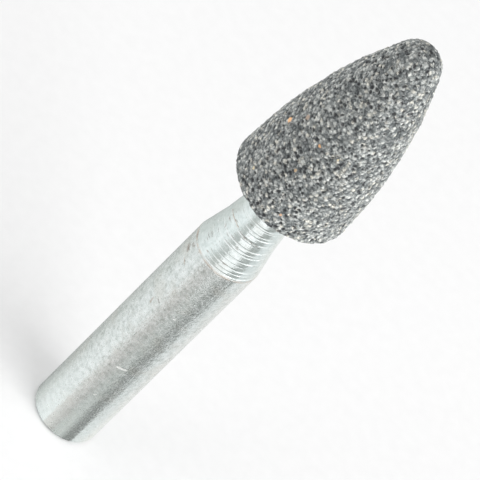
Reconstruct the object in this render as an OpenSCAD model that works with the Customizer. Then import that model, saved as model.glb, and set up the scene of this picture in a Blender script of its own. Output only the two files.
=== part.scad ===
// Mounted grinding point: an ogive abrasive stone cemented onto a plain round steel shank.
// The axis is +Z, the origin is the centre of the shank's end face, and lengths are in mm.

/* [Shank] */
// Diameter of the straight shank that a collet clamps
shank_d = 6; // [5.5:0.1:8]
// Length of the straight shank, from the end face to the neck
shank_len = 25; // [15:0.5:40]
// Radius of the rounded edge round the end face
end_r = 0.4; // [0.1:0.05:0.8]

/* [Neck] */
// Length of the steeper taper that starts at the shank
shoulder_len = 2.9; // [2:0.1:5]
// Diameter at which the steeper taper ends
shoulder_d = 5; // [4.7:0.05:5.3]
// Length of the slender taper that ends at the stone
neck_len = 5.15; // [3:0.05:9]
// Diameter of the neck where it meets the stone
neck_d = 3.9; // [3.4:0.05:4.6]
// Distance between the turning marks left on both tapers
feed_pitch = 0.45; // [0.3:0.05:0.9]
// Depth of the turning marks
feed_depth = 0.04; // [0.01:0.01:0.06]

/* [Tang inside the stone] */
// Width of the ring on which the neck seats against the stone
seat_w = 0.2; // [0.1:0.05:0.3]
// Length of the tang as a share of the stone's length
tang_share = 0.55; // [0.4:0.05:0.6]
// Number of grooves that key the tang into the cement
groove_n = 4; // [2:1:6]
// Width of each groove at the tang's surface
groove_w = 0.8; // [0.4:0.1:0.8]
// Depth of each groove
groove_depth = 0.25; // [0.1:0.05:0.4]
// Bevel at the tang's free end
tang_bevel = 0.4; // [0.2:0.05:0.6]

/* [Cement] */
// Thickness of the cement between the tang and the hole's wall
cement_t = 0.25; // [0.1:0.05:0.3]

/* [Stone] */
// Largest diameter of the stone
stone_d = 10.4; // [8:0.1:16]
// Length of the stone from its seat to its tip
stone_len = 20.75; // [16:0.25:32]
// Radius of the shallow dome on the stone's base
base_r = 10.1; // [9:0.1:30]
// Radius of the edge between the base and the flank
rim_r = 0.3; // [0.2:0.05:1.5]
// Radius of the blunt tip
tip_r = 2.15; // [1:0.05:3]
// Width of the flat ring round the neck, where the base is left plain
seat_margin = 0.3; // [0.1:0.05:0.5]

/* [Hidden] */
// Half of the cone angle at the bottom of the moulded hole
hole_half_angle = 59;
// Largest gap between a curve and the chords drawn for it
sagitta = 0.004;
$fn = 128;

shank_r = shank_d / 2;
shoulder_r = shoulder_d / 2;
neck_r = neck_d / 2;
shoulder_z = shank_len + shoulder_len;
seat_z = shoulder_z + neck_len;

tang_len = tang_share * stone_len;
hole_r = neck_r - seat_w;
tang_r = hole_r - cement_t;
groove_pitch = (tang_len - tang_bevel) / (groove_n + 1);
hole_cone = hole_r / tan(hole_half_angle);

stone_r = stone_d / 2;
seat_r = neck_r + seat_margin;
// The dome's circle passes through the edge of the flat ring
dome_z = sqrt(base_r ^ 2 - seat_r ^ 2);
// The rim's circle touches the dome from inside and the largest diameter
rim_x = stone_r - rim_r;
rim_z = dome_z - sqrt((base_r - rim_r) ^ 2 - rim_x ^ 2);
dome_sweep = atan2(rim_x, dome_z - rim_z);
// The flank's circle starts upright at the rim and touches the tip's circle
tip_z = stone_len - tip_r;
flank_h = tip_z - rim_z;
flank_r = (stone_r ^ 2 + flank_h ^ 2 - tip_r ^ 2) / (2 * (stone_r - tip_r));
flank_sweep = asin(flank_h / (flank_r - tip_r));

// Number of chords that keep an arc of radius r within the sagitta
function chords(r, sweep) = max(2, ceil(abs(sweep) / (2 * acos(1 - sagitta / r))));

// Points along an arc round c, from angle a0 to angle a1
function arc(c, r, a0, a1) =
    let (n = chords(r, a1 - a0))
    [for (i = [0:n]) c + r * [cos(a0 + (a1 - a0) * i / n), sin(a0 + (a1 - a0) * i / n)]];

// The same points without the first one, which the curve before it already holds
function arc_on(c, r, a0, a1) =
    let (p = arc(c, r, a0, a1))
    [for (i = [1:len(p) - 1]) p[i]];

// Turning marks along a taper from p to q: each has a shallow valley and ends on a crest
function turned(p, q) =
    let (n = max(1, round((q.y - p.y) / feed_pitch)))
    [for (i = [0:n - 1], valley = [true, false])
        let (f = (i + (valley ? 1 / 2 : 1)) / n)
        p + f * (q - p) - (valley ? [feed_depth, 0] : [0, 0])];

// Grooves along the tang, counted from the seat
function keyed(r) =
    [for (i = [1:groove_n], corner = [-1, 0, 1])
        [r - (corner == 0 ? groove_depth : 0), i * groove_pitch + corner * groove_w / 2]];

// Outline of the tang above the seat, on one side of the axis
module tang_profile() {
    polygon(concat(
        [[0, 0], [tang_r, 0]],
        keyed(tang_r),
        [[tang_r, tang_len - tang_bevel], [tang_r - tang_bevel, tang_len], [0, tang_len]]
    ));
}

// Outline of the blind hole in the stone, with its conical bottom
module hole_profile() {
    polygon([
        [0, 0],
        [hole_r, 0],
        [hole_r, tang_len],
        [0, tang_len + hole_cone]
    ]);
}

// Outline of the stone: flat seat, domed base, rim, long flank and blunt tip
module stone_profile() {
    polygon(concat(
        [[0, 0]],
        arc([0, dome_z], base_r, asin(seat_r / base_r) - 90, dome_sweep - 90),
        arc_on([rim_x, rim_z], rim_r, dome_sweep - 90, 0),
        arc_on([stone_r - flank_r, rim_z], flank_r, 0, flank_sweep),
        arc_on([0, tip_z], tip_r, flank_sweep, 90)
    ));
}

// Outline of the shank below the seat: rounded end, straight part and the two turned tapers
module shank_profile() {
    polygon(concat(
        [[0, 0]],
        arc([shank_r - end_r, end_r], end_r, -90, 0),
        [[shank_r, shank_len]],
        turned([shank_r, shank_len], [shoulder_r, shoulder_z]),
        turned([shoulder_r, shoulder_z], [neck_r, seat_z]),
        [[0, seat_z]]
    ));
}

// The stone, moulded in one piece with its blind hole
module abrasive_stone() {
    color("#8b8e8d")
        translate([0, 0, seat_z])
            rotate_extrude()
                difference() {
                    stone_profile();
                    hole_profile();
                }
}

// The shank, turned in one piece with its neck and tang
module steel_shank() {
    color("#d5dada")
        rotate_extrude()
            union() {
                shank_profile();
                translate([0, seat_z])
                    tang_profile();
            }
}

// The cement that fills the hole round the tang
module cement_bond() {
    color("#b9b4a6")
        translate([0, 0, seat_z])
            rotate_extrude()
                difference() {
                    hole_profile();
                    tang_profile();
                }
}

abrasive_stone();
steel_shank();
cement_bond();
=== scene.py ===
import math

import bpy
import numpy as np
from mathutils import Matrix, Vector


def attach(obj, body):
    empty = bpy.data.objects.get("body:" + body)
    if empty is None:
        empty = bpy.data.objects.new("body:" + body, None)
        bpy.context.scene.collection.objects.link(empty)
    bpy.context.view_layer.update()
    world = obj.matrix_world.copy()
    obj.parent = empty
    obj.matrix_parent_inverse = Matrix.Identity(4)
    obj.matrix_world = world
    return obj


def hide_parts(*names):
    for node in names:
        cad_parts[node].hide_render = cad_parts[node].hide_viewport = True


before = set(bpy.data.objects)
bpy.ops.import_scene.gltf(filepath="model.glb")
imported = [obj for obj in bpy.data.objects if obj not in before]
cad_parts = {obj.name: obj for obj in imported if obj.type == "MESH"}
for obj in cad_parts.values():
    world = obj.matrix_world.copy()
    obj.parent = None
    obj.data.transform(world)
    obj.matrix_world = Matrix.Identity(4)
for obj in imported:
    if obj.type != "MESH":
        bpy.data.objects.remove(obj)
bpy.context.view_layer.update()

MM = 0.001
FULL_TURN = 2 * math.pi

# Sizes of the part in millimetres, as in its source
SHANK_R = 3.0
SHANK_LEN = 25.0
END_R = 0.4
SHOULDER_LEN = 2.9
SHOULDER_R = 2.5
NECK_LEN = 5.15
NECK_R = 1.95
FEED_PITCH = 0.45
FEED_DEPTH = 0.04
SEAT_W = 0.2
TANG_SHARE = 0.55
GROOVES = 4
GROOVE_W = 0.8
GROOVE_DEPTH = 0.25
TANG_BEVEL = 0.4
CEMENT_T = 0.25
STONE_R = 5.2
STONE_LEN = 20.75
BASE_R = 10.1
RIM_R = 0.3
TIP_R = 2.15
SEAT_MARGIN = 0.3
HOLE_HALF_ANGLE = 59

# Sizes that follow from those
SHOULDER_Z = SHANK_LEN + SHOULDER_LEN
SEAT_Z = SHOULDER_Z + NECK_LEN
SEAT_R = NECK_R + SEAT_MARGIN
TANG_LEN = TANG_SHARE * STONE_LEN
HOLE_R = NECK_R - SEAT_W
TANG_R = HOLE_R - CEMENT_T
HOLE_CONE = HOLE_R / math.tan(math.radians(HOLE_HALF_ANGLE))


# Colours

def grey(v):
    return (v, v, v)


def cool(v):
    return (v * 0.975, v * 1.012, v * 1.01)


def green(v):
    return (v * 0.97, v * 1.01, v * 0.985)


def warm(v):
    return (v * 1.01, v * 1.0, v * 0.975)


# Nodes

def put(tree, socket, value):
    """Links an output to the socket, or gives the socket a constant."""
    if isinstance(value, bpy.types.NodeSocket):
        tree.links.new(value, socket)
    else:
        socket.default_value = value


def node(tree, kind, inputs=None, **props):
    """A node with its properties set, and each input either linked or given a constant."""
    made = tree.nodes.new(kind)
    for key, value in props.items():
        setattr(made, key, value)
    for key, value in (inputs or {}).items():
        put(tree, made.inputs[key], value)
    return made


def math_node(tree, op, *values):
    return node(tree, "ShaderNodeMath", dict(enumerate(values)), operation=op).outputs[0]


def plus(tree, a, b):
    return math_node(tree, "ADD", a, b)


def minus(tree, a, b):
    return math_node(tree, "SUBTRACT", a, b)


def times(tree, a, b):
    return math_node(tree, "MULTIPLY", a, b)


def times_plus(tree, a, b, c):
    return math_node(tree, "MULTIPLY_ADD", a, b, c)


def largest(tree, a, b):
    return math_node(tree, "MAXIMUM", a, b)


def smallest(tree, a, b):
    return math_node(tree, "MINIMUM", a, b)


def angle_from_front(tree, x, y):
    """The angle round the axis, from -Y towards +X."""
    return math_node(tree, "ARCTAN2", x, times(tree, y, -1.0))


def smooth(tree, value, low, high, out_low=0.0, out_high=1.0):
    """A smooth step from out_low to out_high, as the value goes from low to high."""
    limits = {"Value": value, "From Min": low, "From Max": high, "To Min": out_low, "To Max": out_high}
    return node(tree, "ShaderNodeMapRange", limits, interpolation_type="SMOOTHSTEP").outputs["Result"]


def vector_node(tree, op, *values, output="Vector"):
    return node(tree, "ShaderNodeVectorMath", dict(enumerate(values)), operation=op).outputs[output]


def scaled(tree, vector, factor):
    return node(tree, "ShaderNodeVectorMath", {0: vector, "Scale": factor}, operation="SCALE").outputs[0]


def distance(tree, a, b):
    return vector_node(tree, "DISTANCE", a, b, output="Value")


def noise(tree, vector, scale, detail=2.0, rough=0.5, output="Fac"):
    settings = {"Vector": vector, "Scale": scale, "Detail": detail, "Roughness": rough}
    return node(tree, "ShaderNodeTexNoise", settings).outputs[output]


def voronoi(tree, vector, scale):
    return node(tree, "ShaderNodeTexVoronoi", {"Vector": vector, "Scale": scale})


def chance(tree, cells):
    """A random number and colour for each cell, from the cell's own place."""
    place = cells.outputs["Position"]
    return node(tree, "ShaderNodeTexWhiteNoise", {"Vector": place}, noise_dimensions="3D")


def rgba(colour):
    """A constant colour with full alpha. An output stays as it is."""
    return colour if isinstance(colour, bpy.types.NodeSocket) else (*colour, 1.0)


def ramp(tree, value, stops):
    """A colour ramp with stops of (place, colour)."""
    made = node(tree, "ShaderNodeValToRGB", {"Fac": value})
    band = made.color_ramp.elements
    while len(band) < len(stops):
        band.new(0.5)
    for element, (place, colour) in zip(band, stops):
        element.position = place
        element.color = rgba(colour)
    return made.outputs["Color"]


# Sockets of a Mix node that mixes colours
MIX_FACTOR = 0
MIX_A = 6
MIX_B = 7
MIX_RESULT = 2


def mix(tree, factor, a, b, blend="MIX"):
    """Mixes two colours."""
    made = node(tree, "ShaderNodeMix", data_type="RGBA", blend_type=blend)
    for index, value in ((MIX_FACTOR, factor), (MIX_A, rgba(a)), (MIX_B, rgba(b))):
        put(tree, made.inputs[index], value)
    return made.outputs[MIX_RESULT]


def tinted(tree, colour, by):
    """One colour times another."""
    return mix(tree, 1.0, colour, by, "MULTIPLY")


def mix_numbers(tree, factor, a, b):
    """Mixes two numbers."""
    inputs = {"Factor": factor, "A": a, "B": b}
    return node(tree, "ShaderNodeMix", inputs, data_type="FLOAT").outputs["Result"]


def bumped(tree, height, strength, depth):
    """The normal of a surface with fine relief. The depth is in metres."""
    inputs = {"Height": height, "Strength": strength, "Distance": depth}
    return node(tree, "ShaderNodeBump", inputs).outputs[0]


def material(name):
    """A new material and its empty node tree."""
    made = bpy.data.materials.new(name)
    made.use_nodes = True
    made.node_tree.nodes.clear()
    return made, made.node_tree


def surface(tree, kind, inputs):
    """Ends a material with one shader."""
    shader = node(tree, kind, inputs)
    node(tree, "ShaderNodeOutputMaterial", {"Surface": shader.outputs[0]})


# Meshes

# A point nearer to the axis than this is on it
ON_AXIS = 1e-6


def add_object(name, data):
    obj = bpy.data.objects.new(name, data)
    bpy.context.scene.collection.objects.link(obj)
    return obj


def arc(cx, cz, r, a0, a1, step):
    """Points along an arc, in degrees, about one step apart, without the first point."""
    n = max(2, math.ceil(abs(math.radians(a1 - a0)) * r / step))
    angles = [math.radians(a0 + (a1 - a0) * i / n) for i in range(1, n + 1)]
    return [(cx + r * math.cos(a), cz + r * math.sin(a)) for a in angles]


def line(p, q, step):
    """Points along a line, about one step apart, without the first point."""
    n = max(1, math.ceil(math.dist(p, q) / step))
    return [(p[0] + (q[0] - p[0]) * i / n, p[1] + (q[1] - p[1]) * i / n) for i in range(1, n + 1)]


def band_faces(ring, following):
    """Triangles between two rings of any counts. A ring is its first point, its count and its turn."""
    s0, n0, t0 = ring
    s1, n1, t1 = following
    if n0 == 1:
        return [(s0, s1 + (j + 1) % n1, s1 + j) for j in range(n1)]
    if n1 == 1:
        return [(s0 + i, s0 + (i + 1) % n0, s1) for i in range(n0)]
    faces = []
    i = 0
    j = 0
    while i < n0 or j < n1:
        if j == n1 or (i < n0 and (i + 1 + t0) / n0 <= (j + 1 + t1) / n1):
            faces.append((s0 + i % n0, s0 + (i + 1) % n0, s1 + j % n1))
            i += 1
        else:
            faces.append((s0 + i % n0, s1 + (j + 1) % n1, s1 + j % n1))
            j += 1
    return faces


def revolve(name, profile, count):
    """A closed mesh turned from (radius, height) points in mm. count(radius, height) is the number of
    points round a ring."""
    points = []
    rings = []
    for k, (r, z) in enumerate(profile):
        n = 1 if r < ON_AXIS else count(r, z)
        # Every second ring is turned by half a step, so that the triangles are even
        turn = 0.5 * (k % 2) if n > 1 else 0.0
        a = (np.arange(n) + turn) / n * FULL_TURN
        rings.append((sum(len(ring) for ring in points), n, turn))
        points.append(np.stack([r * np.sin(a), -r * np.cos(a), np.full(n, z)], 1))
    faces = []
    for ring, following in zip(rings, rings[1:]):
        faces += band_faces(ring, following)
    mesh = bpy.data.meshes.new(name)
    mesh.from_pydata((np.concatenate(points) * MM).tolist(), [], faces)
    mesh.polygons.foreach_set("use_smooth", [True] * len(mesh.polygons))
    return add_object(name, mesh)


def coordinates(mesh):
    """The mesh's points in metres, one to a row."""
    co = np.empty(len(mesh.vertices) * 3, np.float32)
    mesh.vertices.foreach_get("co", co)
    return co.reshape(-1, 3)


def round_axis(co):
    """The radius and height of points in mm, and their angle from the front towards +X."""
    return np.hypot(co[:, 0], co[:, 1]) / MM, co[:, 2] / MM, np.arctan2(co[:, 0], -co[:, 1])


def bell(values, middle, spread):
    """One at the middle, falling off smoothly over the spread."""
    return np.exp(-((values - middle) / spread) ** 2)


def share(values):
    """Values kept between zero and one."""
    return np.clip(values, 0, 1)


# Stone

# Distance between points on the outside, and between rings as a share of it
STONE_STEP = 0.088
RING_SHARE = 0.87
# Points round a hidden ring, the distance between hidden rings, and the fewest points round any ring
HIDDEN_POINTS = 96
HIDDEN_STEP = 1.0
FEWEST_POINTS = 8
# Room left round the hole when its points are picked out
HOLE_ROOM_R = 0.01
SEAT_ROOM_R = 0.05
HOLE_ROOM_Z = 0.1
# The grain sets in over this width beside the neck, and is full again from this height above the seat
GRAIN_FADE = 0.5
TIP_FROM = 15
# Height of the rim above the seat, the spread of its wear, and the radius where that starts
RIM_Z = 1.5
RIM_SPREAD = 0.55
RIM_FROM = 4.2
# Where the rim is whole: angle from the front, spread and share. Elsewhere it is chipped
WHOLE_RIM = ((0.0, 0.35, 1.0), (-1.35, 0.4, 0.7))

# Grains, grit, pores and waves in each mm, and how far the waves bend the grains
COARSE_SCALE = 3.4
FINE_SCALE = 7.4
PORE_SCALE = 2.6
WOBBLE_SCALE = 4.5
WOBBLE = 0.2
# Where a grain, a grit and a pore start and are full, from the middle of their cell
COARSE_EDGE = (0.65, 0.12)
FINE_EDGE = (0.65, 0.1)
PORE_EDGE = (1.0, 0.5)
# Least size of a pore, and what chance adds
PORE_LEAST = 0.16
PORE_MORE = 0.44

# Relief in mm: least height of a grain and what chance adds, grit, pores, and long waves in the form
GRAIN_LEAST = 0.02
GRAIN_MORE = 0.07
GRIT_HEIGHT = 0.03
PORE_DEPTH = 0.11
UNEVEN_SCALE = 0.55
UNEVEN_HEIGHT = 0.14
UNEVEN_BASE = -0.13
# Chips in the rim, and how far the rim stands out where it is whole
CHIP_SCALE = 0.9
CHIP_EDGE = (0.52, 0.72)
CHIP_DEPTH = 0.22
WHOLE_HEIGHT = 0.12


def stone_profile(step):
    """The stone's outline in mm, from the bottom of its hole round the outside to the tip."""
    dome_z = math.sqrt(BASE_R ** 2 - SEAT_R ** 2)
    rim_x = STONE_R - RIM_R
    rim_z = dome_z - math.sqrt((BASE_R - RIM_R) ** 2 - rim_x ** 2)
    dome = math.degrees(math.atan2(rim_x, dome_z - rim_z))
    height = STONE_LEN - TIP_R - rim_z
    flank_r = (STONE_R ** 2 + height ** 2 - TIP_R ** 2) / (2 * (STONE_R - TIP_R))
    flank = math.degrees(math.asin(height / (flank_r - TIP_R)))
    start = math.degrees(math.asin(SEAT_R / BASE_R)) - 90
    points = [(0.0, TANG_LEN + HOLE_CONE), (HOLE_R, TANG_LEN)]
    points += line(points[-1], (HOLE_R, 0.0), HIDDEN_STEP)
    points += line(points[-1], (SEAT_R, 0.0), step)
    points += arc(0.0, dome_z, BASE_R, start, dome - 90, step)
    points += arc(rim_x, rim_z, RIM_R, dome - 90, 0, step)
    points += arc(STONE_R - flank_r, rim_z, flank_r, 0, flank, step)
    points += arc(0.0, STONE_LEN - TIP_R, TIP_R, flank, 90, step)
    # The last point lies on the axis exactly
    points[-1] = (0.0, STONE_LEN)
    return [(r, SEAT_Z + z) for r, z in points]


def stone_points(r, z):
    """Points round a ring: about one step apart on the outside, and fewer in the hidden hole."""
    if r < HOLE_R + HOLE_ROOM_R and z < SEAT_Z + TANG_LEN + HOLE_ROOM_Z:
        return HIDDEN_POINTS
    return max(FEWEST_POINTS, round(FULL_TURN * r / STONE_STEP))


def grain(tree, rest):
    """Abrasive grain from the surface's own place in metres, alike in the relief and in the material:
    random numbers for each coarse grain, its roundness, the same for the fine grit between, and the
    round open pores."""
    p = scaled(tree, rest, 1 / MM)
    wobble = noise(tree, p, WOBBLE_SCALE, detail=1.0, output="Color")
    p = vector_node(tree, "MULTIPLY_ADD", wobble, grey(WOBBLE), p)
    coarse = voronoi(tree, p, COARSE_SCALE)
    fine = voronoi(tree, p, FINE_SCALE)
    pores = voronoi(tree, p, PORE_SCALE)
    coarse_chance = chance(tree, coarse)
    pore_size = times_plus(tree, chance(tree, pores).outputs["Value"], PORE_MORE, PORE_LEAST)
    pore_reach = math_node(tree, "DIVIDE", pores.outputs["Distance"], pore_size)
    return {
        "p": p,
        "tone": coarse_chance.outputs["Value"],
        "tint": coarse_chance.outputs["Color"],
        "dome": smooth(tree, coarse.outputs["Distance"], *COARSE_EDGE),
        "grit": smooth(tree, fine.outputs["Distance"], *FINE_EDGE),
        "grit_tone": chance(tree, fine).outputs["Value"],
        "pore": smooth(tree, pore_reach, *PORE_EDGE),
    }


def kept_number(tree, name):
    """A number that the mesh keeps at each point."""
    found = node(tree, "GeometryNodeInputNamedAttribute", {"Name": name}, data_type="FLOAT")
    return found.outputs["Attribute"]


def stone_relief():
    """Raises each grain by its own height and sinks the pores, mostly inward from the moulded form, and
    chips the rim."""
    tree = bpy.data.node_groups.new("stone_relief", "GeometryNodeTree")
    for way in ("INPUT", "OUTPUT"):
        tree.interface.new_socket("Geometry", in_out=way, socket_type="NodeSocketGeometry")
    start = node(tree, "NodeGroupInput")
    place = node(tree, "GeometryNodeInputPosition").outputs[0]
    place_mm = scaled(tree, place, 1 / MM)
    grains = grain(tree, place)
    height = times(tree, grains["dome"], times_plus(tree, grains["tone"], GRAIN_MORE, GRAIN_LEAST))
    height = plus(tree, height, times(tree, grains["grit"], times(tree, grains["grit_tone"], GRIT_HEIGHT)))
    height = minus(tree, height, times(tree, grains["pore"], PORE_DEPTH))
    uneven = noise(tree, place_mm, UNEVEN_SCALE, detail=1.0)
    height = plus(tree, height, times_plus(tree, uneven, UNEVEN_HEIGHT, UNEVEN_BASE))
    chips = smooth(tree, noise(tree, place_mm, CHIP_SCALE), *CHIP_EDGE, 0.0, -CHIP_DEPTH)
    height = plus(tree, height, times(tree, chips, kept_number(tree, "chipped")))
    height = times_plus(tree, kept_number(tree, "full"), WHOLE_HEIGHT, height)
    height = times(tree, times(tree, height, kept_number(tree, "cover")), MM)
    offset = scaled(tree, node(tree, "GeometryNodeInputNormal").outputs[0], height)
    moved = node(tree, "GeometryNodeSetPosition", {"Geometry": start.outputs[0], "Offset": offset})
    node(tree, "NodeGroupOutput", {0: moved.outputs[0]})
    return tree


def make_stone():
    obj = revolve("stone", stone_profile(STONE_STEP * RING_SHARE), stone_points)
    co = coordinates(obj.data)
    r, z, a = round_axis(co)
    # There is no grain in the hidden hole and beside the neck
    inside = (r < NECK_R + SEAT_ROOM_R) & (z < SEAT_Z + TANG_LEN + HOLE_CONE + HOLE_ROOM_Z)
    cover = np.where(inside, 0.0, share((r - NECK_R) / GRAIN_FADE) + (z > SEAT_Z + TIP_FROM))
    # The rim is whole and a little full in some places, and chipped elsewhere
    rim = bell(z - SEAT_Z, RIM_Z, RIM_SPREAD) * (r > RIM_FROM)
    whole = sum(part * bell(a, angle, spread) for angle, spread, part in WHOLE_RIM)
    obj.data.attributes.new("rest", "FLOAT_VECTOR", "POINT").data.foreach_set("vector", co.ravel())
    numbers = {"cover": share(cover), "chipped": rim * (1 - whole), "full": rim * whole}
    for name, values in numbers.items():
        attribute = obj.data.attributes.new(name, "FLOAT", "POINT")
        attribute.data.foreach_set("value", values.astype(np.float32))
    obj.modifiers.new("relief", "NODES").node_group = stone_relief()
    deps = bpy.context.evaluated_depsgraph_get()
    solid = obj.evaluated_get(deps)
    mesh = bpy.data.meshes.new_from_object(solid, preserve_all_data_layers=True, depsgraph=deps)
    obj.modifiers.clear()
    obj.data = mesh
    return obj


# Colours of the grains and the grit by chance, of the bond between grains, and of the flecks
GRAIN_TONES = (
    (0.0, (0.12, 0.131, 0.133)),
    (0.28, (0.272, 0.285, 0.280)),
    (0.6, (0.436, 0.448, 0.432)),
    (1.0, (0.60, 0.609, 0.58)),
)
GRIT_TONES = ((0.0, grey(0.5)), (0.5, grey(0.95)), (0.9, grey(1.17)), (1.0, grey(1.3)))
BOND_TONES = ((0.0, (0.46, 0.48, 0.49)), (0.6, grey(1.0)), (1.0, grey(1.0)))
FLECK_TONES = ((0.25, grey(0.72)), (0.5, grey(1.0)), (0.75, grey(1.3)))
FLECK_SCALE = 21.0
CREAM = (0.50, 0.45, 0.36)
# Pores: a nearly black painted shade in their hollows, and how strongly it is mixed in
PORE_PAINTED_SHADE = (0.030, 0.031, 0.034)
PORE_SHADE_STRENGTH = 0.9
# Chance from which a grain turns cream, and how far, and from which it turns glassy, and how rough it is
CREAM_RANGE = (0.84, 0.94, 0.0, 0.4)
GLASSY_RANGE = (0.82, 0.9, 0.78, 0.32)
# Painted light on the base, paler round this place: distances in mm, and the factors there
PAINTED_LIGHT_PLACE = (0.4, -5.0, SEAT_Z + 1.4)
PAINTED_LIGHT_RANGE = (5.0, 1.5, 1.06, 1.24)
# Fine relief: share of the flecks, strength, and depth in metres
FLECK_RELIEF = 0.8
STONE_BUMP = (0.6, 0.00003)
STONE_SPECULAR = 0.45

# Odd grains: place in mm, radius and colour
SPECKS = (
    ((-3.88, -2.72, 41.35), 0.27, (0.90, 0.52, 0.26)),
    ((-3.04, -3.25, 43.24), 0.26, (0.42, 0.32, 0.25)),
    ((-0.82, -4.41, 43.03), 0.17, (0.80, 0.47, 0.24)),
    ((-0.77, -4.84, 39.96), 0.15, (0.50, 0.36, 0.22)),
    ((0.85, -5.11, 35.88), 0.17, (0.66, 0.42, 0.27)),
    ((-3.21, -4.04, 36.38), 0.18, (0.72, 0.62, 0.42)),
    ((0.96, -4.34, 43.27), 0.13, (0.78, 0.68, 0.46)),
    ((2.6, 3.5, 42.1), 0.22, (0.80, 0.47, 0.24)),
)
SPECK_CORE = 0.6
SPECK_STRENGTH = 0.9


def stone_material():
    made, tree = material("vitrified_abrasive")
    rest = node(tree, "ShaderNodeAttribute", attribute_name="rest").outputs["Vector"]
    grains = grain(tree, rest)
    # Most grains are grey, from slate to pale, and a few are cream
    tint = node(tree, "ShaderNodeSeparateColor", {"Color": grains["tint"]})
    tone = ramp(tree, grains["tone"], GRAIN_TONES)
    tone = mix(tree, smooth(tree, tint.outputs["Red"], *CREAM_RANGE), tone, CREAM)
    tone = tinted(tree, tone, ramp(tree, grains["grit_tone"], GRIT_TONES))
    # Painted light: the base is paler towards the front
    tone = scaled(tree, tone, smooth(tree, distance(tree, grains["p"], PAINTED_LIGHT_PLACE), *PAINTED_LIGHT_RANGE))
    # Glassy bond is darker between the grains, and the pores are darker still:
    # nearly black, as painted shade in their hollows
    tone = tinted(tree, tone, ramp(tree, grains["dome"], BOND_TONES))
    tone = mix(tree, times(tree, grains["pore"], PORE_SHADE_STRENGTH), tone, PORE_PAINTED_SHADE)
    fleck = noise(tree, grains["p"], FLECK_SCALE, rough=0.6)
    tone = tinted(tree, tone, ramp(tree, fleck, FLECK_TONES))
    for place, radius, colour in SPECKS:
        # The waves that bend the grains also shift them, by half of their height on average
        gap = distance(tree, grains["p"], [c + WOBBLE / 2 for c in place])
        tone = mix(tree, smooth(tree, gap, radius, radius * SPECK_CORE, 0.0, SPECK_STRENGTH), tone, colour)
    height = plus(tree, grains["grit"], times(tree, fleck, FLECK_RELIEF))
    surface(tree, "ShaderNodeBsdfPrincipled", {
        "Base Color": tone,
        "Roughness": smooth(tree, tint.outputs["Blue"], *GLASSY_RANGE),
        "Specular IOR Level": STONE_SPECULAR,
        "Normal": bumped(tree, height, *STONE_BUMP),
    })
    return made


# Shank

# Distances between points on the end face, its edge, the straight part, the neck and the seat
FACE_STEP = 0.7
EDGE_STEP = 0.06
STRAIGHT_STEP = 0.5
NECK_STEP = 0.034
SEAT_STEP = 0.2
# Points round a ring that shows
SHANK_POINTS = 240
# Room left when points are picked out: at both ends of the neck, over the seat, and round the outside
NECK_ROOM = 0.02
SEAT_ROOM_Z = 0.01
OUTSIDE_ROOM_R = 0.1
OUTSIDE_ROOM_Z = 0.001
# Least radius that is divided by
LEAST_R = 0.1

# Turning marks: seed, how far each may stray as a share of the pitch, depth as a share, and width in mm
TURNING_SEED = 11
STRAY = 0.14
DEPTH_SHARES = (0.25, 0.75)
MARK_WIDTHS = (0.045, 0.075)
# The deepest ones: height in mm, and depth as a share of the usual one
DEEP_MARKS = (
    (25.30, 1.0), (26.05, 0.6), (27.60, 0.7), (28.28, 0.95), (29.15, 0.8), (30.05, 0.7), (30.85, 0.7),
)
# They wander by this much in waves round the neck, with any phase and a slope along it
DRIFT = 0.02
DRIFT_WAVES = (1, 2, 3)
ANY_PHASE = 6.28
DRIFT_SLOPES = (0.2, 0.8)
# One side is shallower: its angle from the front, its edge as a cosine and a width, and what it loses
SHALLOW_ANGLE = -0.70
SHALLOW_EDGE = 0.70
SHALLOW_FADE = 0.1
SHALLOW_LOSS = 0.55
# Each mark varies round the neck by this share, in two to four waves
MARK_VARIES = 0.15
MARK_WAVES = (2, 5)
# Finest marks: depth in mm, waves along the neck, and how they wander
FINE_DEPTH = 0.0025
FINE_WAVES = 17.0
FINE_WANDER = 1.5
FINE_WANDER_WAVES = 2.0
# The marks set in over this length at both ends of the neck
MARK_FADE = 0.2
# The straight part is true to this much in mm, with waves round it that drift along it and set in over
# a short length from its end
TRUE_WITHIN = 0.002
TRUE_WAVES = 3
TRUE_SLOPE = 0.4
TRUE_FADE = 2


def shank_profile():
    """The shank's outline in mm, from the middle of its end face to the end of its tang."""
    points = [(0.0, 0.0)]
    points += line(points[-1], (SHANK_R - END_R, 0.0), FACE_STEP)
    points += arc(SHANK_R - END_R, END_R, END_R, -90, 0, EDGE_STEP)
    points += line(points[-1], (SHANK_R, SHANK_LEN), STRAIGHT_STEP)
    points += line(points[-1], (SHOULDER_R, SHOULDER_Z), NECK_STEP)
    points += line(points[-1], (NECK_R, SEAT_Z), NECK_STEP)
    points += line(points[-1], (TANG_R, SEAT_Z), SEAT_STEP)
    pitch = (TANG_LEN - TANG_BEVEL) / (GROOVES + 1)
    for i in range(1, GROOVES + 1):
        for corner in (-1, 0, 1):
            r = TANG_R - (GROOVE_DEPTH if corner == 0 else 0)
            z = SEAT_Z + i * pitch + corner * GROOVE_W / 2
            points += line(points[-1], (r, z), HIDDEN_STEP)
    points += line(points[-1], (TANG_R, SEAT_Z + TANG_LEN - TANG_BEVEL), HIDDEN_STEP)
    points += [(TANG_R - TANG_BEVEL, SEAT_Z + TANG_LEN), (0.0, SEAT_Z + TANG_LEN)]
    return points


def shank_points(_, z):
    """Points round a ring: fewer on the hidden tang."""
    return HIDDEN_POINTS if z > SEAT_Z + SEAT_ROOM_Z else SHANK_POINTS


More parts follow.
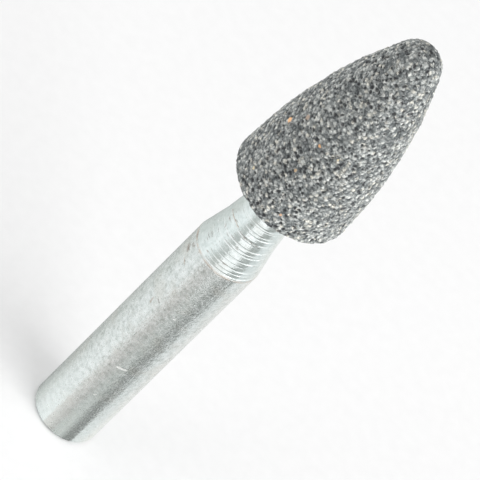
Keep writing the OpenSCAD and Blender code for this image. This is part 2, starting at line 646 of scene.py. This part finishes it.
def turning_marks(z, a):
    """How deep the turning marks cut at each height and angle, in mm."""
    rng = np.random.default_rng(TURNING_SEED)
    # Each turning mark has its own place, depth and width, and wanders a little round the neck
    count = round((SEAT_Z - SHANK_LEN) / FEED_PITCH)
    places = SHANK_LEN + (np.arange(count) + 0.5 + rng.uniform(-STRAY, STRAY, count)) * FEED_PITCH
    depths = rng.uniform(*DEPTH_SHARES, count) * FEED_DEPTH
    for place, part in DEEP_MARKS:
        k = int(np.argmin(np.abs(places - place)))
        places[k] = place
        depths[k] = part * FEED_DEPTH
    widths = rng.uniform(*MARK_WIDTHS, count)
    drift = np.zeros_like(z)
    for waves in DRIFT_WAVES:
        phase = rng.uniform(0, ANY_PHASE)
        slope = rng.uniform(*DRIFT_SLOPES)
        drift += DRIFT * np.cos(a * waves + phase + z * slope)
    # They are shallower on one side, as when the bar runs a little out of true
    side = 1 - SHALLOW_LOSS * share((np.cos(a - SHALLOW_ANGLE) - SHALLOW_EDGE) / SHALLOW_FADE)
    cut = np.zeros_like(z)
    for place, depth, width in zip(places, depths, widths):
        waves = rng.integers(*MARK_WAVES)
        phase = rng.uniform(0, ANY_PHASE)
        strength = side + MARK_VARIES * np.cos(a * waves + phase)
        cut = np.maximum(cut, depth * strength * bell(z + drift, place, width))
    cut += FINE_DEPTH * np.abs(np.sin(FINE_WAVES * z + FINE_WANDER * np.sin(FINE_WANDER_WAVES * a)))
    return cut * share((z - SHANK_LEN) / MARK_FADE) * share((SEAT_Z - z) / MARK_FADE)


def make_shank():
    obj = revolve("shank", shank_profile(), shank_points)
    co = coordinates(obj.data).astype(float)
    r, z, a = round_axis(co)
    neck = (z > SHANK_LEN + NECK_ROOM) & (z < SEAT_Z - NECK_ROOM)
    shift = np.where(neck, -turning_marks(z, a), 0.0)
    waves = TRUE_WITHIN * np.sin(TRUE_WAVES * a + z * TRUE_SLOPE) * share(z / TRUE_FADE)
    shift += np.where(z < SHANK_LEN, waves, 0.0)
    outside = (r > NECK_R - OUTSIDE_ROOM_R) & (z < SEAT_Z + OUTSIDE_ROOM_Z)
    scale = np.where(outside, (r + shift) / np.maximum(r, LEAST_R), 1.0)
    co[:, 0] *= scale
    co[:, 1] *= scale
    obj.data.vertices.foreach_set("co", co.astype(np.float32).ravel())
    obj.data.update()
    return obj


# Colours of the marks on the steel
STAIN = (0.36, 0.30, 0.26)
TAN = (0.60, 0.51, 0.44)
DULL = (0.30, 0.29, 0.27)
WHITE = (0.97, 0.97, 0.95)
# Each mark has a line of places, its half width, colour and strength. A place is the way round from the
# front, measured on the straight part, and the height, both in mm
MARKS = (
    (((-2.66, 23.68), (-2.92, 23.80)), 0.34, STAIN, 1.0),
    (((-2.68, 24.40), (-2.46, 24.56)), 0.25, STAIN, 0.6),
    (((-2.74, 25.02), (-3.74, 25.12)), 0.17, TAN, 0.8),
    (((-3.00, 25.05), (-3.30, 25.08)), 0.20, STAIN, 0.6),
    (((-1.81, 22.82), (-2.20, 23.02)), 0.13, TAN, 0.8),
    (((-1.54, 17.50), (-1.65, 18.00)), 0.13, TAN, 0.8),
    (((-1.02, 18.34), (-1.28, 18.46)), 0.12, DULL, 0.9),
    (((-3.22, 29.27), (-1.88, 29.37), (-0.99, 29.35)), 0.11, TAN, 0.8),
    (((-1.70, 29.36), (-2.0, 29.36)), 0.10, STAIN, 0.6),
    (((-0.50, 29.24), (0.0, 29.17), (0.99, 29.11), (1.86, 29.07)), 0.11, DULL, 0.85),
    (((-2.17, 26.27), (-2.62, 26.36)), 0.09, DULL, 0.6),
    (((-2.02, 26.63), (-2.49, 26.71)), 0.11, DULL, 0.6),
    (((-2.02, 27.37), (-2.40, 27.45)), 0.08, DULL, 0.45),
    (((-2.98, 27.53), (-3.20, 27.56)), 0.09, DULL, 0.5),
    (((-1.99, 28.14), (-2.20, 28.30)), 0.11, STAIN, 0.5),
    (((-2.33, 28.77), (-2.64, 28.83)), 0.11, STAIN, 0.5),
    (((-0.94, 25.29), (-0.50, 25.29)), 0.10, DULL, 0.5),
    (((-0.84, 28.36), (-0.37, 28.34)), 0.10, DULL, 0.6),
    (((-0.92, 27.65), (-0.26, 27.65)), 0.08, DULL, 0.4),
    (((0.34, 10.42), (0.62, 10.50), (1.02, 10.64)), 0.17, WHITE, 1.5),
    (((0.58, 6.45), (0.66, 6.50)), 0.12, WHITE, 1.5),
    (((0.80, 18.25), (0.92, 18.32)), 0.12, WHITE, 1.5),
)
# A mark is full within this share of its half width. Its edge is ragged by this much, in waves of this
# scale, and its strength is broken by the fine noise
MARK_CORE = 0.2
RAGGED = 0.12
RAGGED_SCALE = 5.0
BROKEN_RANGE = (0.32, 0.62, 1.0, 0.55)

# Noises on the steel, in waves in each mm. The drawn one is stretched along the shank
CLOUD_SCALE = 0.5
MOTTLE_SCALE = 2.4
FINE_NOISE_SCALE = 6.5
DRAWN_SCALE = (7.0, 7.0, 0.6)
SPOT_SCALE = 1.7
# Dashes are stretched round the neck: waves in each mm round it and along it
DASH_ROUND = 1.1
DASH_ALONG = 5.0

# Colours of the zinc by its mottle, in its clouds, in its fine pits, on the neck and near the end
ZINC_TONES = ((0.28, (0.60, 0.63, 0.61)), (0.5, (0.84, 0.865, 0.855)), (0.7, (0.97, 0.985, 0.98)))
CLOUD_TONE = (0.79, 0.765, 0.72)
PIT_TONE = (0.50, 0.51, 0.48)
NECK_TONE = (0.885, 0.98, 0.975)
END_TONE = (0.83, 0.855, 0.845)
DASH_TONE = (0.36, 0.31, 0.27)
EDGE_TONE = (0.64, 0.54, 0.46)
# Where each sets in, and how far
CLOUD_RANGE = (0.5, 0.72, 0.0, 0.5)
PIT_RANGE = (0.46, 0.28, 0.0, 0.6)
NECK_RANGE = (SHANK_LEN - 0.05, SHANK_LEN + 0.15)
NECK_STRENGTH = 0.4
CALM_RANGE = (1.0, 10.0, 0.65, 0.0)
DASH_RANGE = (0.66, 0.74)
SPOT_RANGE = (0.70, 0.76)
SPOT_SHARE = 0.5
DASH_STRENGTH = 0.6
EDGE_RANGE = (0.18, 0.03)
EDGE_BROKEN = (0.38, 0.56, 0.1, 0.65)

# Roughness of the plating by its fine noise, of the neck, and what a mark adds
ROUGH_RANGE = (0.48, 0.66, 0.07, 0.38)
NECK_ROUGH = 0.10
MARK_ROUGH = 0.5
# Fine relief: shares of the noises, what is left of it on the neck, and how far a mark sinks it
FINE_RELIEF = 0.75
DRAWN_RELIEF = 0.25
MOTTLE_RELIEF = 0.14
NECK_RELIEF = 0.35
MARK_SINKS = 0.8
STEEL_BUMP = (0.6, 0.00007)
# One strip along the shank is scuffed: where it starts and ends on the way round, and what it adds
SCUFF_START = (0.1, 0.7)
SCUFF_END = (2.05, 1.8)
SCUFF_RELIEF = 0.5


def stroke(tree, at, points, half_wide):
    """One on a drawn line and zero beyond its half width."""
    gaps = []
    for p, q in zip(points, points[1:]):
        start = Vector((*p, 0.0))
        along = Vector((*q, 0.0)) - start
        rel = vector_node(tree, "SUBTRACT", at, start)
        part = vector_node(tree, "DOT_PRODUCT", rel, along / along.length_squared, output="Value")
        part = smallest(tree, largest(tree, part, 0.0), 1.0)
        gaps.append(distance(tree, rel, scaled(tree, along, part)))
    nearest = gaps[0]
    for gap in gaps[1:]:
        nearest = smallest(tree, nearest, gap)
    return smooth(tree, nearest, half_wide, half_wide * MARK_CORE)


def steel_fields(tree):
    """Places on the steel in mm, and the noises that its colour and its relief share."""
    p = scaled(tree, node(tree, "ShaderNodeTexCoord").outputs["Object"], 1 / MM)
    xyz = node(tree, "ShaderNodeSeparateXYZ", {0: p})
    z = xyz.outputs["Z"]
    return {
        "p": p,
        "z": z,
        "way": times(tree, angle_from_front(tree, xyz.outputs["X"], xyz.outputs["Y"]), SHANK_R),
        "neck": smooth(tree, z, *NECK_RANGE),
        # The shank is smoother towards its end
        "calm": smooth(tree, z, *CALM_RANGE),
        "mottle": noise(tree, p, MOTTLE_SCALE, detail=3.0, rough=0.6),
        "fine": noise(tree, p, FINE_NOISE_SCALE, rough=0.6),
    }


def steel_colour(tree, steel):
    """Pale zinc with cloudy bright and dull patches."""
    cloud = noise(tree, steel["p"], CLOUD_SCALE, detail=3.0)
    colour = ramp(tree, steel["mottle"], ZINC_TONES)
    colour = mix(tree, smooth(tree, cloud, *CLOUD_RANGE), colour, CLOUD_TONE)
    colour = mix(tree, smooth(tree, steel["fine"], *PIT_RANGE), colour, PIT_TONE)
    colour = mix(tree, times(tree, steel["neck"], NECK_STRENGTH), colour, NECK_TONE)
    colour = mix(tree, steel["calm"], colour, END_TONE)
    # Short dark dashes lie along the turning marks, and a few spots all over
    ringwise = {0: times(tree, steel["way"], DASH_ROUND), 1: times(tree, steel["z"], DASH_ALONG)}
    dash = noise(tree, node(tree, "ShaderNodeCombineXYZ", ringwise).outputs[0], scale=1.0, detail=1.0)
    dash = times(tree, smooth(tree, dash, *DASH_RANGE), steel["neck"])
    spot = times(tree, smooth(tree, noise(tree, steel["p"], SPOT_SCALE), *SPOT_RANGE), SPOT_SHARE)
    colour = mix(tree, times(tree, largest(tree, dash, spot), DASH_STRENGTH), colour, DASH_TONE)
    # The edge of the neck keeps a brownish line
    edge = math_node(tree, "ABSOLUTE", minus(tree, steel["z"], SHANK_LEN))
    edge = times(tree, smooth(tree, edge, *EDGE_RANGE), smooth(tree, steel["mottle"], *EDGE_BROKEN))
    return mix(tree, edge, colour, EDGE_TONE)


def draw_marks(tree, steel, colour):
    """The colour with the scratches and stains on it, and how far each place is marked."""
    at = node(tree, "ShaderNodeCombineXYZ", {0: steel["way"], 1: steel["z"]}).outputs[0]
    ragged = noise(tree, steel["p"], RAGGED_SCALE, detail=1.0, output="Color")
    at = vector_node(tree, "MULTIPLY_ADD", ragged, (RAGGED, RAGGED, 0.0), at)
    at = vector_node(tree, "SUBTRACT", at, (RAGGED / 2, RAGGED / 2, 0.0))
    broken = smooth(tree, steel["fine"], *BROKEN_RANGE)
    masks = []
    for points, half_wide, tint, strength in MARKS:
        mask = times(tree, stroke(tree, at, points, half_wide), times(tree, broken, strength))
        colour = mix(tree, mask, colour, tint)
        masks.append(mask)
    marked = masks[0]
    for mask in masks[1:]:
        marked = largest(tree, marked, mask)
    return colour, marked


def steel_relief(tree, steel, marked):
    """Height of the fine relief."""
    drawn = noise(tree, vector_node(tree, "MULTIPLY", steel["p"], DRAWN_SCALE), scale=1.0)
    height = times_plus(tree, steel["fine"], FINE_RELIEF, times(tree, drawn, DRAWN_RELIEF))
    height = times_plus(tree, steel["mottle"], MOTTLE_RELIEF, height)
    scuffed = times(tree, smooth(tree, steel["way"], *SCUFF_START), smooth(tree, steel["way"], *SCUFF_END))
    height = times(tree, height, times_plus(tree, scuffed, SCUFF_RELIEF, 1.0))
    height = times(tree, height, minus(tree, 1.0, steel["calm"]))
    height = times(tree, height, smooth(tree, steel["neck"], 0.0, 1.0, 1.0, NECK_RELIEF))
    return minus(tree, height, times(tree, marked, MARK_SINKS))


def shank_material():
    made, tree = material("plated_steel")
    steel = steel_fields(tree)
    colour, marked = draw_marks(tree, steel, steel_colour(tree, steel))
    # The plating is grainy on the straight part, and the turned neck is brighter
    rough = mix_numbers(tree, steel["neck"], smooth(tree, steel["fine"], *ROUGH_RANGE), NECK_ROUGH)
    surface(tree, "ShaderNodeBsdfPrincipled", {
        "Base Color": colour,
        "Metallic": 1.0,
        "Roughness": times_plus(tree, marked, MARK_ROUGH, rough),
        "Normal": bumped(tree, steel_relief(tree, steel, marked), *STEEL_BUMP),
    })
    return made


# Cement

SAND_SCALE = 6.0
SAND_TONES = ((0.3, (0.40, 0.37, 0.31)), (0.7, (0.60, 0.57, 0.50)))
CEMENT_ROUGH = 0.85
CEMENT_BUMP = (0.4, 0.00004)


def cement_material():
    made, tree = material("cement")
    p = scaled(tree, node(tree, "ShaderNodeTexCoord").outputs["Object"], 1 / MM)
    sand = noise(tree, p, SAND_SCALE, detail=3.0, rough=0.6)
    surface(tree, "ShaderNodeBsdfPrincipled", {
        "Base Color": ramp(tree, sand, SAND_TONES),
        "Roughness": CEMENT_ROUGH,
        "Normal": bumped(tree, sand, *CEMENT_BUMP),
    })
    return made


# Pieces

stone = make_stone()
stone.data.materials.clear()
stone.data.materials.append(stone_material())
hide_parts("abrasive_stone")
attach(stone, "root")

shank = make_shank()
shank.data.materials.append(shank_material())
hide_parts("steel_shank")
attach(shank, "root")

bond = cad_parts["cement_bond"]
cement = cement_material()
for slot in bond.material_slots:
    slot.material = cement


# Floor and cards, in metres

FLOOR_HALF = 3
FLOOR_CORNERS = ((-1, -1), (1, -1), (1, 1), (-1, 1))
FIBRE_SCALE = 900.0
FIBRE_TONES = ((0.3, grey(0.915)), (0.7, grey(0.935)))
CARD_POINTS = 96
# Radius of each card and its height over the floor
NEAR_CARD = (0.040, 0.00006)
FAR_CARD = (0.450, 0.00003)
# The far card turns white between these distances from the middle, so that the sides of the turning
# marks reflect a brighter tone than the neck between them
FAR_FADE = (0.072, 0.120)
CARD_WHITE = 0.93
# Painted light: cards are paler close to the foot, against the object's shade there,
# by the shank's radius as a share of the distance
FOOT_PAINTED_LIGHT = ((0.2, grey(1.0)), (0.6, grey(1.08)))
HEADING_STEPS = 3
# Tones of the cards: degrees from the front towards +X, and the tone there
BACK_LEFT = ((-180, green(0.46)), (-158, green(0.50)), (-147, green(0.62)))
BACK_RIGHT = ((147, warm(0.84)), (180, cool(0.80)))
NEAR_FRONT = (
    (-106, green(0.78)), (-80, cool(0.82)), (-33, cool(0.85)), (-27, warm(0.71)), (-10, warm(0.61)),
    (6, warm(0.505)), (14, green(0.525)), (35, green(0.59)), (46, green(0.44)), (57, green(0.285)),
    (81, green(0.285)), (82, cool(0.75)), (106, cool(0.78)),
)
FAR_FRONT = (
    (-106, green(0.69)), (-60, cool(0.855)), (-47, cool(0.91)), (-34, cool(0.865)), (-18, green(0.57)),
    (1, green(0.51)), (5, grey(1.0)), (43, grey(1.0)), (52, green(0.46)), (81, green(0.43)),
    (84, cool(0.66)), (106, cool(0.73)),
)


def plate(name, outline):
    mesh = bpy.data.meshes.new(name)
    mesh.from_pydata(outline, [], [tuple(range(len(outline)))])
    obj = add_object(name, mesh)
    return obj


def floor_material():
    made, tree = material("floor")
    place = node(tree, "ShaderNodeTexCoord").outputs["Object"]
    fibre = noise(tree, place, FIBRE_SCALE, detail=3.0)
    surface(tree, "ShaderNodeBsdfDiffuse", {"Color": ramp(tree, fibre, FIBRE_TONES)})
    return made


def card_material(name, stops, fade=None):
    """Paper whose tone follows the heading in which the shank throws its reflections over the floor.
    Stops are (degrees from the front towards +X, tone). With fade, the tones turn white between two
    distances from the middle."""
    made, tree = material(name)
    xyz = node(tree, "ShaderNodeSeparateXYZ", {0: node(tree, "ShaderNodeTexCoord").outputs["Object"]})
    x = xyz.outputs["X"]
    y = xyz.outputs["Y"]
    turn = angle_from_front(tree, x, y)
    out = math_node(tree, "SQRT", plus(tree, times(tree, x, x), times(tree, y, y)))
    near = smallest(tree, math_node(tree, "DIVIDE", SHANK_R * MM, out), 1.0)
    # A reflection leaves the shank at half of its heading, so the heading is found step by step
    heading = times(tree, turn, plus(tree, near, 1.0))
    for _ in range(HEADING_STEPS):
        foot = math_node(tree, "SINE", times(tree, heading, 0.5))
        heading = plus(tree, turn, math_node(tree, "ARCSINE", times(tree, near, foot)))
    part = times_plus(tree, heading, 1 / FULL_TURN, 0.5)
    tone = ramp(tree, part, [((degrees + 180) / 360, tint) for degrees, tint in stops])
    # Painted light: paler close to the foot, where the object keeps light away
    tone = tinted(tree, tone, ramp(tree, near, FOOT_PAINTED_LIGHT))
    if fade:
        tone = mix(tree, smooth(tree, out, *fade), tone, grey(CARD_WHITE))
    surface(tree, "ShaderNodeBsdfDiffuse", {"Color": tone})
    return made


def card(name, radius, height, stops, fade=None):
    """A round card on the floor that only reflections see."""
    angles = np.arange(CARD_POINTS) / CARD_POINTS * FULL_TURN
    obj = plate(name, [(radius * math.cos(a), radius * math.sin(a), height) for a in angles])
    obj.data.materials.append(card_material(name, stops, fade))
    obj.visible_camera = False
    obj.visible_diffuse = False
    obj.visible_shadow = False
    obj.visible_transmission = False


floor = plate("floor", [(x * FLOOR_HALF, y * FLOOR_HALF, 0) for x, y in FLOOR_CORNERS])
floor.data.materials.append(floor_material())
card("near_card", *NEAR_CARD, BACK_LEFT + NEAR_FRONT + BACK_RIGHT)
card("far_card", *FAR_CARD, BACK_LEFT + FAR_FRONT + BACK_RIGHT, FAR_FADE)


# Light

# Each lamp has a place and an aim in metres, a width and a height, its power in watts, and whether
# reflections see it
LAMPS = (
    ("key", (0.55, -0.30, 0.50), (0, 0, 0.03), 0.70, 0.70, 2.75, True),
    ("fill", (-0.55, -0.40, 0.50), (0, 0, 0.03), 0.60, 0.60, 0.9, True),
    ("right", (0.59, -0.06, 0.07), (0, 0, 0.045), 0.50, 0.11, 2.9, False),
    ("left", (-0.57, 0.16, 0.07), (0, 0, 0.045), 0.50, 0.11, 1.55, False),
)
# The sky is brighter where it is seen or reflected than as a light
SKY_LIGHT = 0.64
SKY_SEEN_MORE = 0.36


def lamp(name, place, aim, wide, high, power, reflected):
    data = bpy.data.lights.new(name, "AREA")
    data.shape = "ELLIPSE"
    data.size = wide
    data.size_y = high
    data.energy = power
    obj = add_object(name, data)
    obj.location = place
    obj.rotation_euler = (Vector(aim) - Vector(place)).to_track_quat("-Z", "Y").to_euler()
    obj.visible_glossy = reflected


def make_sky():
    world = bpy.data.worlds.new("studio")
    bpy.context.scene.world = world
    world.use_nodes = True
    tree = world.node_tree
    tree.nodes.clear()
    path = node(tree, "ShaderNodeLightPath")
    seen = largest(tree, path.outputs["Is Camera Ray"], path.outputs["Is Glossy Ray"])
    strength = times_plus(tree, seen, SKY_SEEN_MORE, SKY_LIGHT)
    sky = node(tree, "ShaderNodeBackground", {"Color": rgba(grey(1.0)), "Strength": strength})
    node(tree, "ShaderNodeOutputWorld", {"Surface": sky.outputs[0]})


for settings in LAMPS:
    lamp(*settings)
make_sky()


# Camera

# It looks down at this angle and is rolled, so that the tip points up and to the right
LEAN = math.radians(42.0)
ROLL = math.radians(45.29)
# Distance in metres from the point it aims at, and how far it is moved to its left and down
REACH = 0.578
AIM = Vector((0, 0, 0.028571))
MOVED_LEFT = 0.001061
MOVED_DOWN = 0.001084
# The photo's width in pixels and its scale at the aim, and the sensor's width in mm
PHOTO_WIDTH = 480.0
PIXELS_PER_MM = 12.82
SENSOR = 36.0
CLIP_END = 20.0


def make_camera():
    ahead = Vector((0, math.cos(LEAN), -math.sin(LEAN)))
    level_up = Vector((0, math.sin(LEAN), math.cos(LEAN)))
    level_right = Vector((1, 0, 0))
    right = math.cos(ROLL) * level_right + math.sin(ROLL) * level_up
    up = math.cos(ROLL) * level_up - math.sin(ROLL) * level_right
    lens = bpy.data.cameras.new("camera")
    lens.sensor_width = SENSOR
    lens.lens = PIXELS_PER_MM * REACH / MM * SENSOR / PHOTO_WIDTH
    lens.clip_end = CLIP_END
    camera = add_object("camera", lens)
    camera.matrix_world = Matrix((right, up, -ahead)).transposed().to_4x4()
    camera.location = AIM - REACH * ahead - MOVED_LEFT * right - MOVED_DOWN * up
    return camera


bpy.context.scene.camera = make_camera()
bpy.context.scene.view_settings.view_transform = "Standard"
